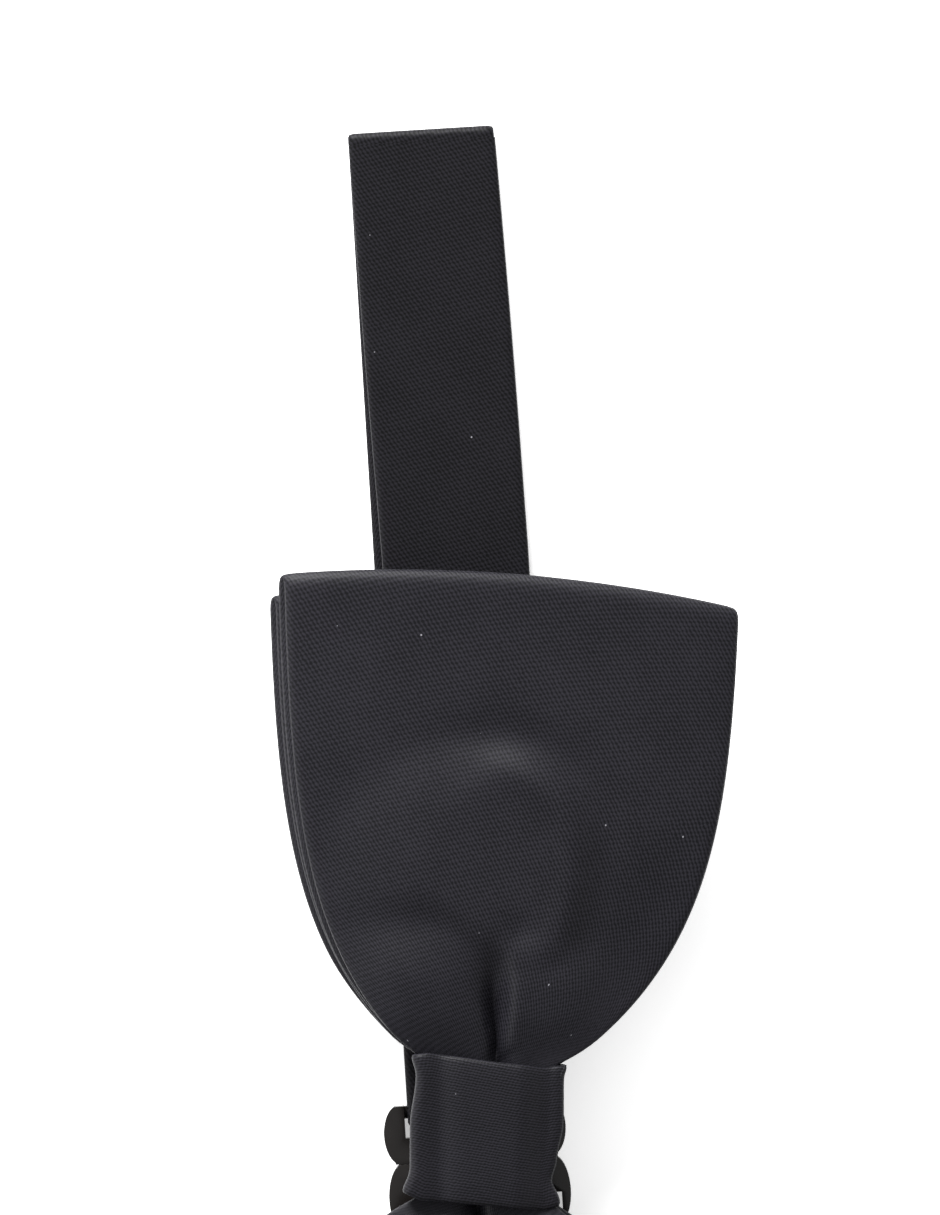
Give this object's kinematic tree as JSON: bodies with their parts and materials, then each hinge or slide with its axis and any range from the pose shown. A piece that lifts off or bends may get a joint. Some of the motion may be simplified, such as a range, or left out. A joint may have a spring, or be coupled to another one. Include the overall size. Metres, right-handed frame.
{
  "type": "bow tie",
  "caption": "Ready-tied black satin bow tie with layered bow, plain wrapped knot, and an adjustable neckband with a small moulded clasp.",
  "frame": {"origin": "middle of the tie's box, on the surface that it lies on", "axes": "+X along the bow from wing to wing, +Y across the bow, +Z out of the bow's front"},
  "size_m": [0.2182, 0.055, 0.0145],
  "materials": {
    "bow_satin": "satin weave, soft sheen",
    "band_satin": "satin weave, soft sheen",
    "interlining": "matt brushed cotton",
    "thread": "spun polyester",
    "clasp_plastic": "glossy black"
  },
  "bodies": {
    "bow": {"front_bow": "bow_satin", "front_bow_interlining": "interlining", "rear_bow": "bow_satin", "rear_bow_interlining": "interlining", "waist_thread": "thread", "knot_wrap": "bow_satin", "knot_interlining": "interlining", "knot_seam_stitches": "thread", "neckband_front": "band_satin", "upper_band_fold": "band_satin", "lower_band_fold": "band_satin"},
    "hook_side": {"neckband_hook_side": "band_satin", "hook_end_stitches": "thread"},
    "clasp_hook_half": {"clasp_hook": "clasp_plastic"},
    "adjust_side": {"neckband_adjust_side": "band_satin", "adjust_strand": "band_satin", "return_strand": "band_satin", "eye_loop": "band_satin"},
    "clasp_eye_half": {"clasp_eye": "clasp_plastic"},
    "slide": {"slider_end_loop": "band_satin", "adjuster_slider": "clasp_plastic"}
  },
  "joints": [
    {"name": "hook_side_unfold", "type": "hinge", "parent": "bow", "child": "hook_side", "pos_m": [0.1073, 0.00716, 0.0013], "axis": [0.061, -0.9981, 0], "range_deg": [0, 180], "deforming": ["upper_band_fold"]},
    {"name": "adjust_side_unfold", "type": "hinge", "parent": "bow", "child": "adjust_side", "pos_m": [-0.1073, -0.00596, 0.0013], "axis": [-0.061, 0.9981, 0], "range_deg": [0, 180], "deforming": ["lower_band_fold"]},
    {"name": "clasp_hook_flap", "type": "hinge", "parent": "hook_side", "child": "clasp_hook_half", "pos_m": [0.0021, 0.00073, 0.0016], "axis": [0.061, -0.9981, 0], "range_deg": [0, 45]},
    {"name": "clasp_eye_flap", "type": "hinge", "parent": "adjust_side", "child": "clasp_eye_half", "pos_m": [-0.01028, -0.00003, 0.0016], "axis": [-0.061, 0.9981, 0], "range_deg": [0, 45]},
    {"name": "slide_travel", "type": "slide", "parent": "adjust_side", "child": "slide", "axis": [0.9981, 0.061, 0], "range_m": [-0.016, 0.012], "deforming": ["adjust_strand", "return_strand"]}
  ]
}
